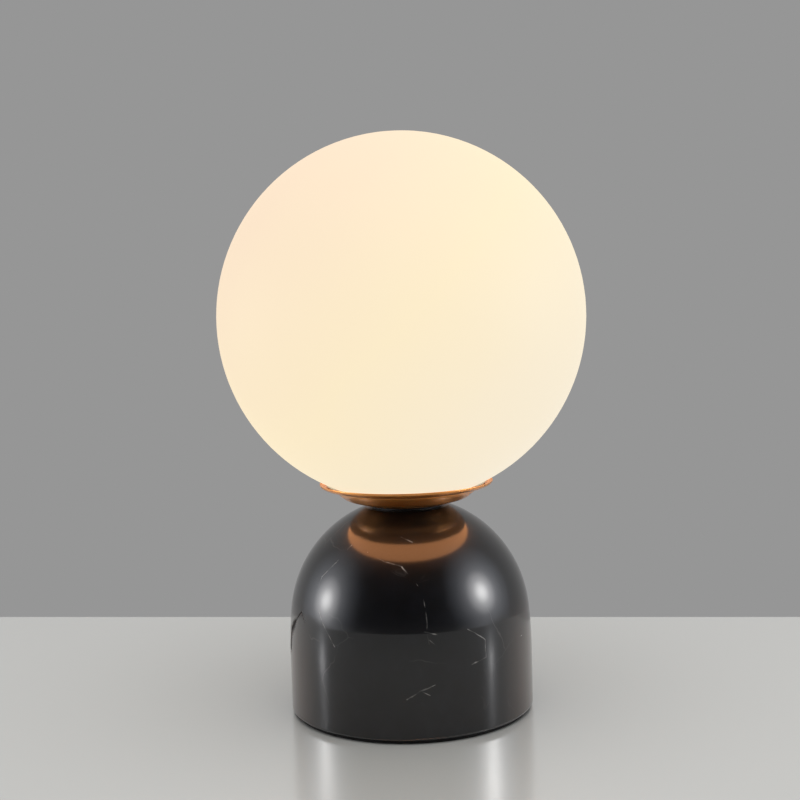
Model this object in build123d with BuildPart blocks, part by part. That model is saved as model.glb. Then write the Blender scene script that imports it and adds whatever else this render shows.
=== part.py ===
from build123d import *

import os
from math import cos, radians, sin, sqrt

# Table lamp: an opal glass globe in a two-tier spun brass dish, on a domed block of black
# marble. Millimetres, +Z up, origin at the centre of the pad that the lamp stands on.

# ---- driving dimensions ----

# marble block, its foot pad and its wiring recess
pad_thickness = 2.0
pad_inset = 2.6
block_radius = 67.0
foot_round = 1.6
flank_height = 30.8
flank_curve_radius = 240.0
flank_turn_angle = 5.83
seat_flat_radius = 23.0
recess_radius = 42.0
recess_depth = 24.0
tube_hole_clearance = 0.7

# cable outlet at the back
outlet_rise = 12.0
outlet_bore_radius = 3.5
outlet_neck_radius = 4.8
outlet_neck_length = 12.0
outlet_flange_radius = 7.5
outlet_flange_thickness = 1.5
outlet_flange_round = 0.75
outlet_hole_clearance = 0.1
outlet_seat_clearance = 0.5
outlet_seat_depth = 2.0

# threaded tube and what it clamps
tube_radius = 5.0
tube_bore_radius = 3.75
tube_chamfer = 0.5
tube_below_nut = 1.0
tube_in_holder = 8.0
nut_sides = 6
nut_across_flats = 14.0
nut_height = 4.0
nut_chamfer = 0.4
thread_clearance = 0.1
clamp_plate_radius = 34.0
clamp_plate_thickness = 2.0
lock_washer_radius = 9.0
lock_washer_thickness = 1.4
lock_washer_slot = 1.2
stone_washer_radius = 19.0
stone_washer_thickness = 1.4

# lower tier of the dish
cup_bottom_radius = 23.0
cup_mouth_margin = 1.4
cup_height = 6.0
cup_curve_radius = 33.0
cup_sheet = 1.0
cup_lip_round = 0.4
cup_spacer_radius = 11.0

# upper tier of the dish, as wide as the glass's mouth and gasket ask for
saucer_floor_margin = 0.2
saucer_rim_margin = 6.6
saucer_depth = 5.6
saucer_curve_radius = 27.0
saucer_sheet = 1.0
saucer_lip_round = 0.4

# silicone ring that the glass sits on
gasket_inset = 1.7
gasket_width = 5.0
gasket_thickness = 1.6
glass_gap = 0.3

# glass globe
globe_radius = 100.0
glass_wall = 3.0
globe_mouth_radius = 34.5
glass_edge_round = 1.2

# three-finger spring that holds the glass
finger_count = 3
finger_first_angle = 90
finger_width = 9.0
finger_sheet = 0.5
finger_hub_radius = 13.0
finger_flank_run = 6.75
finger_crest_gap = 0.1
finger_crest_height = 3.8
finger_tip_run = 3.25
finger_tip_height = 8.0
finger_bend_radius = 1.5
gallery_washer_radius = 10.0
gallery_washer_thickness = 1.0

# lampholder
holder_stand_off = 0.5
holder_neck_radius = 9.0
holder_neck_height = 7.0
holder_wall = 1.6
holder_shoulder_height = 13.5
holder_shoulder_curve = 14.0
holder_split_height = 18.0
holder_collar_height = 5.5
holder_cavity_floor = 10.5
holder_cavity_floor_radius = 11.0
holder_cavity_curve = 9.0
holder_cavity_shoulder = 15.0
holder_fit = 0.2
skirt_wall = 1.6
insert_radius = 16.2
insert_clearance = 0.4
insert_height = 9.0
insert_flange_thickness = 1.6
insert_notch_radius = 11.0
insert_notch_width = 9.0
skirt_taper_rise = 11.0
skirt_taper_height = 9.0
skirt_mouth_wall = 3.0
skirt_thread_clearance = 0.5
skirt_bore_depth = 27.0
skirt_lower_bore_height = 1.5
skirt_mouth_round = 1.0
contact_sheet = 0.8
contact_width = 5.0
contact_slot_clearance = 0.2
tongue_rise = 2.0
tongue_reach = 3.0
side_contact_height = 12.5
side_contact_gap = 0.4
side_pocket_clearance = 0.4
terminal_rise = 3.0
terminal_head_radius = 2.4
terminal_head_thickness = 1.6
terminal_shank_radius = 1.5
terminal_shank_length = 5.0
grub_screw_radius = 1.5
grub_socket_sides = 6
grub_socket_radius = 0.8
grub_socket_depth = 1.5

# lamp bulb
bulb_contact_gap = 0.4
bulb_tip_radius = 4.6
bulb_tip_height = 1.2
bulb_tip_round = 0.6
bulb_insulator_tip_radius = 6.0
bulb_insulator_radius = 11.2
bulb_insulator_height = 5.0
bulb_cap_radius = 12.9
bulb_cap_wall = 0.5
bulb_cap_height = 19.0
bulb_cap_ledge_radius = 9.0
bulb_neck_fit = 0.1
bulb_neck_depth = 7.0
bulb_housing_overhang = 0.4
bulb_housing_height = 20.0
bulb_housing_wall = 1.5
bulb_housing_curve = 48.0
bulb_dome_rise = 9.05
bulb_dome_wall = 1.2
bulb_joint_radius = 20.6
bulb_rim_wall = 2.1
bulb_board_thickness = 1.5
bulb_ledge_width = 1.6
driver_board_width = 17.0
driver_board_height = 24.0
driver_board_thickness = 1.6
driver_gap = 1.0

# wiring under the block
terminal_block_width = 18.0
terminal_block_depth = 16.0
terminal_block_height = 14.0
terminal_block_offset = 21.0
terminal_block_corner = 1.0
pole_spacing = 9.0
sleeve_rise = 4.0
sleeve_radius = 2.5
sleeve_bore_radius = 1.5
block_screw_radius = 1.0
block_screw_head_radius = 1.7
block_screw_head_thickness = 0.75
block_screw_spacing = 8.0
fixing_screw_radius = 1.4
fixing_head_radius = 2.4
fixing_head_thickness = 1.4
lead_radius = 1.1
lead_spacing = 2.8
lead_bend_radius = 3.0
lead_end_bend_radius = 1.5
lead_dip = 1.5

# ---- radii, worked out from what fits inside what ----

gasket_inner_radius = globe_mouth_radius + gasket_inset
gasket_outer_radius = gasket_inner_radius + gasket_width
gasket_middle_radius = gasket_inner_radius + gasket_width / 2
saucer_floor_radius = gasket_inner_radius - saucer_floor_margin
saucer_rim_radius = gasket_outer_radius + saucer_rim_margin
cup_mouth_radius = saucer_floor_radius + cup_mouth_margin
holder_cavity_radius = insert_radius + insert_clearance
holder_collar_radius = holder_cavity_radius + holder_wall
holder_radius = holder_collar_radius + holder_fit + skirt_wall
skirt_bore_radius = bulb_cap_radius + skirt_thread_clearance
skirt_mouth_outer_radius = skirt_bore_radius + skirt_mouth_wall
bulb_housing_foot_radius = bulb_cap_radius + bulb_housing_overhang
bulb_board_seat_radius = bulb_joint_radius - bulb_rim_wall
bulb_dome_radius = sqrt(bulb_joint_radius**2 + bulb_dome_rise**2)

# ---- heights, worked out from the ground up ----

# The flank's long curve runs into the dome, whose centre is on the lamp's axis.
flank_top = pad_thickness + flank_height
flank_turn = radians(flank_turn_angle)
dome_radius = flank_curve_radius - (flank_curve_radius - block_radius) / cos(flank_turn)
dome_centre = flank_top + (flank_curve_radius - dome_radius) * sin(flank_turn)
block_top = dome_centre + sqrt(dome_radius**2 - seat_flat_radius**2)
recess_ceiling = pad_thickness + recess_depth
outlet_height = pad_thickness + outlet_rise
plate_bottom = recess_ceiling - clamp_plate_thickness
lock_washer_bottom = plate_bottom - lock_washer_thickness
lower_nut_bottom = lock_washer_bottom - nut_height
tube_bottom = lower_nut_bottom - tube_below_nut

cup_bottom = block_top + stone_washer_thickness
saucer_bottom = cup_bottom + cup_height
saucer_floor = saucer_bottom + saucer_sheet
rim_height = saucer_bottom + saucer_depth
spring_top = saucer_floor + finger_sheet
gallery_washer_top = spring_top + gallery_washer_thickness
upper_nut_top = gallery_washer_top + nut_height
holder_base = upper_nut_top + holder_stand_off
tube_top = holder_base + tube_in_holder

# The saucer's wall is an arc from its floor to its rim. Its centre is found from those two
# points, and the glass is then set so that the gasket just fits between it and the wall.
wall_run = saucer_rim_radius - saucer_floor_radius
wall_chord = sqrt(wall_run**2 + saucer_depth**2)
wall_centre_offset = sqrt(saucer_curve_radius**2 - (wall_chord / 2) ** 2)
wall_centre_radius = (
    (saucer_floor_radius + saucer_rim_radius) / 2 - wall_centre_offset * saucer_depth / wall_chord
)
wall_centre_height = (
    saucer_bottom + saucer_depth / 2 + wall_centre_offset * wall_run / wall_chord
)
wall_inner_curve = saucer_curve_radius - saucer_sheet


def saucer_inside(radius):
    """Height of the saucer's inner surface at a radius on its curved wall."""
    return wall_centre_height - sqrt(wall_inner_curve**2 - (radius - wall_centre_radius) ** 2)


gasket_bottom = saucer_inside(gasket_middle_radius)
gasket_top_curve = globe_radius + glass_gap
globe_centre = gasket_bottom + sqrt(
    (gasket_top_curve + gasket_thickness) ** 2 - gasket_middle_radius**2
)

insert_bottom = holder_split_height
insert_top = insert_bottom + insert_height
insert_face = holder_base + insert_top
skirt_taper_start = holder_split_height + skirt_taper_rise
skirt_taper_end = skirt_taper_start + skirt_taper_height
bulb_bottom = insert_face + contact_sheet + tongue_rise + bulb_contact_gap
bulb_insulator_bottom = bulb_bottom + bulb_tip_height
bulb_cap_bottom = bulb_insulator_bottom + bulb_insulator_height
bulb_cap_top = bulb_cap_bottom + bulb_cap_height
bulb_joint = bulb_cap_top + bulb_housing_height
bulb_dome_centre = bulb_joint + bulb_dome_rise

os.makedirs("parts", exist_ok=True)


def upright(height):
    """The XZ plane seen from the front, with its origin on the lamp's axis at a height."""
    return Plane(origin=(0, 0, height), x_dir=(1, 0, 0), z_dir=(0, -1, 0))


def write(builder, name):
    """Labels a finished piece and writes it under its name."""
    builder.part.label = name
    export_step(builder.part, f"parts/{name}.step")


# ---- base ----

# Foam pad under the block, a little smaller than it.
with BuildPart() as base_pad:
    with BuildSketch():
        Circle(block_radius - pad_inset)
    extrude(amount=pad_thickness)
write(base_pad, "base_pad")

# Marble block: an upright foot, a long barrel curve and a dome that is cut flat for the dish.
tube_hole_radius = tube_radius + tube_hole_clearance
outlet_seat = block_radius - outlet_seat_depth
with BuildPart() as marble_base:
    with BuildSketch(Plane.XZ):
        with BuildLine():
            foot = Line((0, pad_thickness), (block_radius, pad_thickness))
            flank = Line(foot @ 1, (block_radius, flank_top))
            barrel = JernArc(flank @ 1, flank % 1, flank_curve_radius, flank_turn_angle)
            crown = RadiusArc(barrel @ 1, (seat_flat_radius, block_top), -dome_radius)
            Polyline(crown @ 1, (0, block_top), (0, pad_thickness))
        make_face()
    revolve(axis=Axis.Z)
    fillet(marble_base.edges().filter_by(GeomType.CIRCLE).group_by(Axis.Z)[0], foot_round)
    with BuildSketch(Plane.XY.offset(pad_thickness)):
        Circle(recess_radius)
    extrude(amount=recess_depth, mode=Mode.SUBTRACT)
    with BuildSketch(Plane.XY.offset(recess_ceiling)):
        Circle(tube_hole_radius)
    extrude(amount=block_top - recess_ceiling, mode=Mode.SUBTRACT)
    with BuildSketch(Plane.XZ):
        with Locations((0, outlet_height)):
            Circle(outlet_neck_radius + outlet_hole_clearance)
    extrude(amount=-block_radius, mode=Mode.SUBTRACT)
    with BuildSketch(Plane.XZ.offset(-outlet_seat)):
        with Locations((0, outlet_height)):
            Circle(outlet_flange_radius + outlet_seat_clearance)
    extrude(amount=-outlet_seat_depth, mode=Mode.SUBTRACT)
write(marble_base, "marble_base")

# Flanged bush that lines the cable outlet.
with BuildPart() as cable_gland:
    with BuildSketch(Plane.XZ.offset(-outlet_seat)):
        with Locations((0, outlet_height)):
            Circle(outlet_flange_radius)
    extrude(amount=-outlet_flange_thickness)
    fillet(cable_gland.edges().group_by(Axis.Y)[-1], outlet_flange_round)
    with BuildSketch(Plane.XZ.offset(-outlet_seat)):
        with Locations((0, outlet_height)):
            Circle(outlet_neck_radius)
    extrude(amount=outlet_neck_length)
    with BuildSketch(Plane.XZ.offset(-outlet_seat - outlet_flange_thickness)):
        with Locations((0, outlet_height)):
            Circle(outlet_bore_radius)
    extrude(amount=outlet_neck_length + outlet_flange_thickness, mode=Mode.SUBTRACT)
write(cable_gland, "cable_gland")

# Steel plate that spreads the clamp load on the recess's ceiling.
with BuildPart() as clamp_plate:
    with BuildSketch(Plane.XY.offset(plate_bottom)):
        Circle(clamp_plate_radius)
        Circle(tube_hole_radius, mode=Mode.SUBTRACT)
        with Locations((0, terminal_block_offset)):
            Circle(fixing_screw_radius, mode=Mode.SUBTRACT)
    extrude(amount=clamp_plate_thickness)
write(clamp_plate, "clamp_plate")

# Split spring washer under the plate.
with BuildPart() as lock_washer:
    with BuildSketch(Plane.XY.offset(lock_washer_bottom)):
        Circle(lock_washer_radius)
        Circle(tube_radius + thread_clearance, mode=Mode.SUBTRACT)
        with Locations((lock_washer_radius / 2, 0)):
            Rectangle(lock_washer_radius, lock_washer_slot, mode=Mode.SUBTRACT)
    extrude(amount=lock_washer_thickness)
write(lock_washer, "lock_washer")


def hex_nut(bottom):
    """A hexagon nut with chamfered corners, its lower face at the given height."""
    with BuildPart() as nut:
        with BuildSketch(Plane.XY.offset(bottom)):
            RegularPolygon(nut_across_flats / 2, nut_sides, major_radius=False)
        extrude(amount=nut_height)
        chamfer(nut.edges().group_by(Axis.Z)[0] + nut.edges().group_by(Axis.Z)[-1], nut_chamfer)
        with BuildSketch(Plane.XY.offset(bottom)):
            Circle(tube_radius + thread_clearance)
        extrude(amount=nut_height, mode=Mode.SUBTRACT)
    return nut


write(hex_nut(lower_nut_bottom), "lower_nut")
write(hex_nut(gallery_washer_top), "upper_nut")

# Threaded tube from the recess to the lampholder, with the leads in its bore.
with BuildPart() as threaded_tube:
    with BuildSketch(Plane.XY.offset(tube_bottom)):
        Circle(tube_radius)
    extrude(amount=tube_top - tube_bottom)
    chamfer(threaded_tube.edges(), tube_chamfer)
    with BuildSketch(Plane.XY.offset(tube_bottom)):
        Circle(tube_bore_radius)
    extrude(amount=tube_top - tube_bottom, mode=Mode.SUBTRACT)
write(threaded_tube, "threaded_tube")

# Black fibre washer between the stone and the dish.
with BuildPart() as stone_washer:
    with BuildSketch(Plane.XY.offset(block_top)):
        Circle(stone_washer_radius)
        Circle(tube_hole_radius, mode=Mode.SUBTRACT)
    extrude(amount=stone_washer_thickness)
write(stone_washer, "stone_washer")

# ---- dish ----

# Lower tier: a spun cup, open at the top, whose rounded lip stands out under the saucer.
with BuildPart() as brass_cup:
    with BuildSketch(Plane.XZ):
        with BuildLine():
            cup_foot = Line((0, cup_bottom), (cup_bottom_radius, cup_bottom))
            cup_wall = RadiusArc(
                cup_foot @ 1, (cup_mouth_radius, saucer_bottom), -cup_curve_radius
            )
            Polyline(cup_wall @ 1, (0, saucer_bottom), (0, cup_bottom))
        make_face()
    revolve(axis=Axis.Z)
    offset(amount=-cup_sheet, openings=brass_cup.faces().sort_by(Axis.Z)[-1])
    fillet(brass_cup.edges().group_by(Axis.Z)[-1].sort_by(SortBy.LENGTH)[-1], cup_lip_round)
    with BuildSketch(Plane.XY.offset(cup_bottom)):
        Circle(tube_radius + thread_clearance)
    extrude(amount=cup_height, mode=Mode.SUBTRACT)
write(brass_cup, "brass_cup")

# Ring that carries the clamp load through the cup.
with BuildPart() as cup_spacer:
    with BuildSketch(Plane.XY.offset(cup_bottom + cup_sheet)):
        Circle(cup_spacer_radius)
        Circle(tube_radius + thread_clearance, mode=Mode.SUBTRACT)
    extrude(amount=cup_height - cup_sheet)
write(cup_spacer, "cup_spacer")

# Upper tier: a spun saucer whose curved wall holds the glass.
with BuildPart() as brass_saucer:
    with BuildSketch(Plane.XZ):
        with BuildLine():
            saucer_foot = Line((0, saucer_bottom), (saucer_floor_radius, saucer_bottom))
            saucer_wall = RadiusArc(
                saucer_foot @ 1, (saucer_rim_radius, rim_height), -saucer_curve_radius
            )
            Polyline(saucer_wall @ 1, (0, rim_height), (0, saucer_bottom))
        make_face()
    revolve(axis=Axis.Z)
    offset(amount=-saucer_sheet, openings=brass_saucer.faces().sort_by(Axis.Z)[-1])
    fillet(brass_saucer.edges().group_by(Axis.Z)[-1], saucer_lip_round)
    with BuildSketch(Plane.XY.offset(saucer_bottom)):
        Circle(tube_radius + thread_clearance)
    extrude(amount=saucer_sheet, mode=Mode.SUBTRACT)
write(brass_saucer, "brass_saucer")

# Silicone ring between the saucer's wall and the glass, hollowed to the globe's curve.
with BuildPart() as seat_gasket:
    with BuildSketch(Plane.XZ):
        with BuildLine():
            gasket_foot = RadiusArc(
                (gasket_inner_radius, saucer_inside(gasket_inner_radius)),
                (gasket_outer_radius, saucer_inside(gasket_outer_radius)),
                -wall_inner_curve,
            )
            Polyline(
                gasket_foot @ 1,
                (gasket_outer_radius, globe_centre),
                (gasket_inner_radius, globe_centre),
                gasket_foot @ 0,
            )
        make_face()
        with Locations((0, globe_centre)):
            Circle(gasket_top_curve, mode=Mode.SUBTRACT)
    revolve(axis=Axis.Z)
write(seat_gasket, "seat_gasket")

# Blown globe with a round mouth and a fire-polished edge.
with BuildPart() as glass_globe:
    with Locations((0, 0, globe_centre)):
        Sphere(globe_radius)
        Sphere(globe_radius - glass_wall, mode=Mode.SUBTRACT)
    with BuildSketch(Plane.XY.offset(globe_centre)):
        Circle(globe_mouth_radius)
    extrude(amount=-globe_radius, mode=Mode.SUBTRACT)
    fillet(glass_globe.edges().filter_by(GeomType.CIRCLE), glass_edge_round)
write(glass_globe, "glass_globe")

# Spring plate whose three bent fingers press on the edge of the glass.
crest_radius = globe_mouth_radius - finger_crest_gap - finger_sheet / 2
with BuildPart() as retaining_spring:
    with BuildSketch(Plane.XZ):
        with BuildLine():
            FilletPolyline(
                (finger_hub_radius / 2, saucer_floor + finger_sheet / 2),
                (crest_radius - finger_flank_run, saucer_floor + finger_sheet / 2),
                (crest_radius, saucer_floor + finger_crest_height),
                (crest_radius - finger_tip_run, saucer_floor + finger_tip_height),
                radius=finger_bend_radius,
            )
        trace(line_width=finger_sheet)
    finger = extrude(amount=finger_width / 2, both=True, mode=Mode.PRIVATE)
    with PolarLocations(0, finger_count, start_angle=finger_first_angle):
        add(finger)
    with BuildSketch(Plane.XY.offset(saucer_floor)):
        Circle(finger_hub_radius)
    extrude(amount=finger_sheet)
    with BuildSketch(Plane.XY.offset(saucer_floor)):
        Circle(tube_radius + thread_clearance)
    extrude(amount=finger_sheet, mode=Mode.SUBTRACT)
write(retaining_spring, "retaining_spring")

# Washer between the spring plate and the upper nut.
with BuildPart() as gallery_washer:
    with BuildSketch(Plane.XY.offset(spring_top)):
        Circle(gallery_washer_radius)
        Circle(tube_radius + thread_clearance, mode=Mode.SUBTRACT)
    extrude(amount=gallery_washer_thickness)
write(gallery_washer, "gallery_washer")

# ---- lampholder ----

# Cap that screws on the tube: a narrow neck, a domed shoulder and a collar for the skirt.
with BuildPart() as holder_cap:
    with BuildSketch(upright(holder_base)):
        with BuildLine():
            neck = Polyline((0, 0), (holder_neck_radius, 0), (holder_neck_radius, holder_neck_height))
            shoulder = RadiusArc(
                neck @ 1, (holder_radius, holder_shoulder_height), -holder_shoulder_curve
            )
            Polyline(
                shoulder @ 1,
                (holder_radius, holder_split_height),
                (holder_collar_radius, holder_split_height),
                (holder_collar_radius, holder_split_height + holder_collar_height),
                (0, holder_split_height + holder_collar_height),
                (0, 0),
            )
        make_face()
        with BuildLine():
            cavity_floor = Line((0, holder_cavity_floor), (holder_cavity_floor_radius, holder_cavity_floor))
            cavity_wall = RadiusArc(
                cavity_floor @ 1, (holder_cavity_radius, holder_cavity_shoulder), -holder_cavity_curve
            )
            Polyline(
                cavity_wall @ 1,
                (holder_cavity_radius, holder_split_height + holder_collar_height),
                (0, holder_split_height + holder_collar_height),
                (0, holder_cavity_floor),
            )
        make_face(mode=Mode.SUBTRACT)
    revolve(axis=Axis.Z)
    with BuildSketch(Plane.XY.offset(holder_base)):
        Circle(tube_radius + thread_clearance)
    extrude(amount=holder_cavity_floor, mode=Mode.SUBTRACT)
    with BuildSketch(Plane.YZ):
        with Locations((0, holder_base + holder_neck_height / 2)):
            Circle(grub_screw_radius)
    extrude(amount=holder_neck_radius, mode=Mode.SUBTRACT)
write(holder_cap, "holder_cap")

# Grub screw in the neck, which locks the cap on the tube.
with BuildPart() as holder_grub_screw:
    with BuildSketch(Plane.YZ.offset(tube_radius)):
        with Locations((0, holder_base + holder_neck_height / 2)):
            Circle(grub_screw_radius)
    extrude(amount=holder_neck_radius - tube_radius)
    with BuildSketch(Plane.YZ.offset(holder_neck_radius)):
        with Locations((0, holder_base + holder_neck_height / 2)):
            RegularPolygon(grub_socket_radius, grub_socket_sides)
    extrude(amount=-grub_socket_depth, mode=Mode.SUBTRACT)
write(holder_grub_screw, "holder_grub_screw")

# Strips are bent in the XZ plane. The centre one is on +X, the side one on -X.
strip_radius = insert_notch_radius + contact_sheet / 2
strip_foot = holder_base + insert_bottom + contact_sheet
strip_turn = insert_face + contact_sheet / 2
side_strip_radius = bulb_cap_radius + side_contact_gap + contact_sheet / 2
terminal_axis = holder_base + insert_bottom + terminal_rise


def contact_strip(*points):
    """A brass strip of contact width along bent points in the XZ plane."""
    with BuildPart() as strip:
        with BuildSketch(Plane.XZ):
            with BuildLine():
                Polyline(*points)
            trace(line_width=contact_sheet)
        extrude(amount=contact_width / 2, both=True)
    return strip


def screw_hole(side):
    """The terminal screw's hole, from the strip inwards, on the +X or -X side."""
    with BuildPart() as hole:
        with BuildSketch(Plane.YZ.offset(side * (insert_notch_radius + contact_sheet))):
            with Locations((0, terminal_axis)):
                Circle(terminal_shank_radius)
        extrude(amount=-side * terminal_shank_length)
    return hole


# Moulded insert with a notch for each terminal and a slot for each strip.
with BuildPart() as holder_insert:
    with BuildSketch(Plane.XY.offset(holder_base + insert_bottom)):
        Circle(insert_radius)
    extrude(amount=insert_top - insert_bottom)
    with BuildSketch(Plane.XY.offset(holder_base + holder_split_height + holder_collar_height)):
        Circle(holder_collar_radius)
    extrude(amount=insert_flange_thickness)
    notch_depth = insert_radius - insert_notch_radius
    with BuildSketch(Plane.XY.offset(holder_base + insert_bottom)):
        with Locations(
            (insert_notch_radius + notch_depth / 2, 0), (-insert_notch_radius - notch_depth / 2, 0)
        ):
            Rectangle(notch_depth, insert_notch_width)
    extrude(amount=holder_split_height + holder_collar_height - insert_bottom, mode=Mode.SUBTRACT)
    with BuildSketch(Plane.XY.offset(holder_base + insert_bottom)):
        with Locations((strip_radius, 0), (-strip_radius, 0)):
            Rectangle(contact_sheet + contact_slot_clearance, contact_width + contact_slot_clearance)
    extrude(amount=insert_top - insert_bottom, mode=Mode.SUBTRACT)
    add(screw_hole(1).part, mode=Mode.SUBTRACT)
    add(screw_hole(-1).part, mode=Mode.SUBTRACT)
write(holder_insert, "holder_insert")

# Centre contact: up through the insert, then a rising tongue over its middle.
centre_contact = contact_strip(
    (strip_radius, strip_foot),
    (strip_radius, strip_turn),
    (tongue_reach, strip_turn + tongue_rise / 2),
    (-tongue_reach, strip_turn + tongue_rise),
)
with centre_contact:
    add(screw_hole(1).part, mode=Mode.SUBTRACT)
write(centre_contact, "centre_contact")

# Side contact: up through the insert, out over its top and up beside the bulb's cap.
side_contact = contact_strip(
    (-strip_radius, strip_foot),
    (-strip_radius, strip_turn),
    (-side_strip_radius, strip_turn),
    (-side_strip_radius, insert_face + side_contact_height),
)
with side_contact:
    add(screw_hole(-1).part, mode=Mode.SUBTRACT)
write(side_contact, "side_contact")

# Two terminal screws, heads outwards.
with BuildPart() as holder_terminal_screws:
    for side in (1, -1):
        with BuildSketch(Plane.YZ.offset(side * (insert_notch_radius + contact_sheet))):
            with Locations((0, terminal_axis)):
                Circle(terminal_head_radius)
        extrude(amount=side * terminal_head_thickness)
        add(screw_hole(side).part)
write(holder_terminal_screws, "holder_terminal_screws")

# Skirt: grips the insert's flange, tapers in and ends in the bulb's mouth.
with BuildPart() as holder_skirt:
    skirt_ledge = holder_split_height + holder_collar_height + insert_flange_thickness
    skirt_top = insert_top + skirt_bore_depth
    skirt_lower_bore = insert_top + skirt_lower_bore_height
    with BuildSketch(upright(holder_base)) as skirt_profile:
        with BuildLine():
            Polyline(
                (skirt_bore_radius, skirt_top),
                (skirt_bore_radius, skirt_lower_bore),
                (insert_radius + holder_fit, skirt_lower_bore),
                (insert_radius + holder_fit, skirt_ledge),
                (holder_collar_radius + holder_fit, skirt_ledge),
                (holder_collar_radius + holder_fit, holder_split_height),
                (holder_radius, holder_split_height),
                (holder_radius, skirt_taper_start),
            )
            Spline(
                (holder_radius, skirt_taper_start),
                (skirt_mouth_outer_radius, skirt_taper_end),
                tangents=((0, 1), (0, 1)),
            )
            Polyline(
                (skirt_mouth_outer_radius, skirt_taper_end),
                (skirt_mouth_outer_radius, skirt_top),
                (skirt_bore_radius, skirt_top),
            )
        make_face()
        fillet(skirt_profile.vertices().group_by(Axis.Y)[-1], skirt_mouth_round)
    revolve(axis=Axis.Z)
    pocket_outer = side_strip_radius + contact_sheet / 2 + side_pocket_clearance
    with BuildSketch(Plane.XY.offset(insert_face)):
        with Locations((-pocket_outer / 2, 0)):
            Rectangle(pocket_outer, contact_width + 2 * side_pocket_clearance)
    extrude(amount=side_contact_height + side_pocket_clearance, mode=Mode.SUBTRACT)
write(holder_skirt, "holder_skirt")

# ---- bulb ----

with BuildPart() as bulb_contact:
    with BuildSketch(Plane.XY.offset(bulb_bottom)):
        Circle(bulb_tip_radius)
    extrude(amount=bulb_tip_height)
    fillet(bulb_contact.edges().group_by(Axis.Z)[0], bulb_tip_round)
write(bulb_contact, "bulb_contact")

# Black glass cone between the tip and the screw cap.
with BuildPart() as bulb_insulator:
    with BuildSketch(Plane.XY.offset(bulb_insulator_bottom)):
        Circle(bulb_insulator_tip_radius)
    with BuildSketch(Plane.XY.offset(bulb_cap_bottom)):
        Circle(bulb_insulator_radius)
    loft()
write(bulb_insulator, "bulb_insulator")

# Screw cap: a thin plated shell with a ledge on the insulator.
with BuildPart() as bulb_screw_cap:
    with BuildSketch(Plane.XY.offset(bulb_cap_bottom)):
        Circle(bulb_cap_radius)
    extrude(amount=bulb_cap_height)
    fillet(bulb_screw_cap.edges().group_by(Axis.Z)[0], bulb_cap_radius - bulb_insulator_radius)
    offset(amount=-bulb_cap_wall, openings=bulb_screw_cap.faces().sort_by(Axis.Z)[-1])
    with BuildSketch(Plane.XY.offset(bulb_cap_bottom)):
        Circle(bulb_cap_ledge_radius)
    extrude(amount=bulb_cap_wall, mode=Mode.SUBTRACT)
write(bulb_screw_cap, "bulb_screw_cap")

# White housing: a neck inside the screw cap and a flared body with a ledge for the board.
bulb_neck_radius = bulb_cap_radius - bulb_cap_wall - bulb_neck_fit
board_bottom = bulb_joint - bulb_board_thickness
bulb_board_radius = bulb_board_seat_radius - bulb_neck_fit
with BuildPart() as bulb_housing:
    with BuildSketch(upright(bulb_cap_top)):
        with BuildLine():
            housing_foot = Polyline(
                (bulb_neck_radius - bulb_housing_wall, -bulb_neck_depth),
                (bulb_neck_radius, -bulb_neck_depth),
                (bulb_neck_radius, 0),
                (bulb_housing_foot_radius, 0),
            )
            housing_wall = RadiusArc(
                housing_foot @ 1, (bulb_joint_radius, bulb_housing_height), -bulb_housing_curve
            )
            housing_top = Polyline(
                housing_wall @ 1,
                (bulb_board_seat_radius, bulb_housing_height),
                (bulb_board_seat_radius, bulb_housing_height - bulb_board_thickness),
                (bulb_board_seat_radius - bulb_ledge_width, bulb_housing_height - bulb_board_thickness),
            )
            Polyline(
                housing_top @ 1,
                (bulb_neck_radius - bulb_housing_wall, bulb_housing_wall),
                housing_foot @ 0,
            )
        make_face()
    revolve(axis=Axis.Z)
write(bulb_housing, "bulb_housing")

# Board that carries the light-emitting chips, and the driver board in the neck below it.
with BuildPart() as bulb_led_board:
    with BuildSketch(Plane.XY.offset(board_bottom)):
        Circle(bulb_board_radius)
    extrude(amount=bulb_board_thickness)
write(bulb_led_board, "bulb_led_board")

with BuildPart() as bulb_driver_board:
    with BuildSketch(Plane.XZ.offset(-driver_board_thickness / 2)):
        with Locations((0, board_bottom - driver_gap - driver_board_height / 2)):
            Rectangle(driver_board_width, driver_board_height)
    extrude(amount=driver_board_thickness)
write(bulb_driver_board, "bulb_driver_board")

# Opal dome that closes the bulb.
with BuildPart() as bulb_diffuser:
    with Locations((0, 0, bulb_dome_centre)):
        Sphere(bulb_dome_radius)
        Sphere(bulb_dome_radius - bulb_dome_wall, mode=Mode.SUBTRACT)
    split(bisect_by=Plane.XY.offset(bulb_joint), keep=Keep.TOP)
write(bulb_diffuser, "bulb_diffuser")

# ---- wiring ----

block_bottom = plate_bottom - terminal_block_height
block_front = terminal_block_offset - terminal_block_depth / 2
sleeve_axis = block_bottom + sleeve_rise
screw_row = block_screw_spacing / 2
poles = (-pole_spacing / 2, pole_spacing / 2)
screw_places = [
    (x, terminal_block_offset + row) for x in poles for row in (-screw_row, screw_row)
]

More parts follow.
